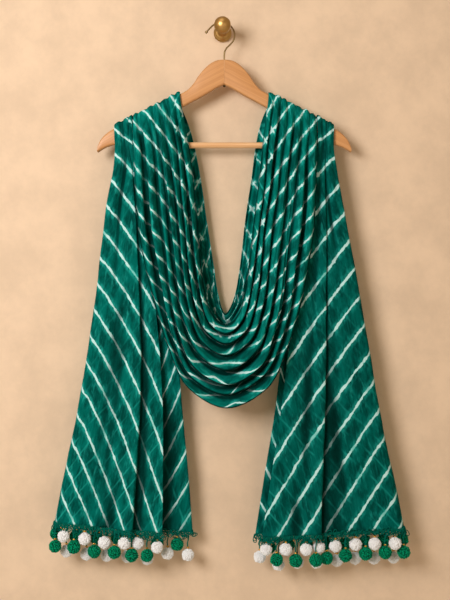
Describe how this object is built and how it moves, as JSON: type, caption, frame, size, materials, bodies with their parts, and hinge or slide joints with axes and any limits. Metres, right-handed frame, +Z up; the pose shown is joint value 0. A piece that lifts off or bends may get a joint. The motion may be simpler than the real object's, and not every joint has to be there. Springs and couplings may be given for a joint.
{
  "type": "dupatta stole on a wooden hanger with a wall hook",
  "caption": "Long striped stole with pom-pom ends, draped in a deep front cowl over a trouser-bar hanger that hangs from a round wall hook.",
  "frame": {"origin": "centre of the wall hook's plate, on the wall plane", "axes": "+Y into the wall, +Z up, +X to the right seen from the front; the drape hangs below and in front of the origin"},
  "size_m": [0.6199, 0.0907, 0.9556],
  "materials": {
    "green_cloth": "soft matte cloth, emerald green with thin white tie-dyed stripes",
    "green_cloth_behind": "soft matte cloth, emerald green with thin white tie-dyed stripes",
    "pompom_wool": "fluffy wool, green and white by turns",
    "hanger_wood": "satin lacquered light wood",
    "bar_wood": "satin lacquered light wood",
    "brass": "aged satin brass"
  },
  "bodies": {
    "root": {"cowl": "green_cloth", "tail_left": "green_cloth", "tail_right": "green_cloth", "back_swag": "green_cloth_behind", "pompom_trim_left": "pompom_wool", "pompom_trim_right": "pompom_wool", "hanger_arm_left": "hanger_wood", "hanger_arm_right": "hanger_wood", "hanger_bar": "bar_wood", "hanger_hook": "brass", "wall_hook": "brass"}
  },
  "joints": []
}
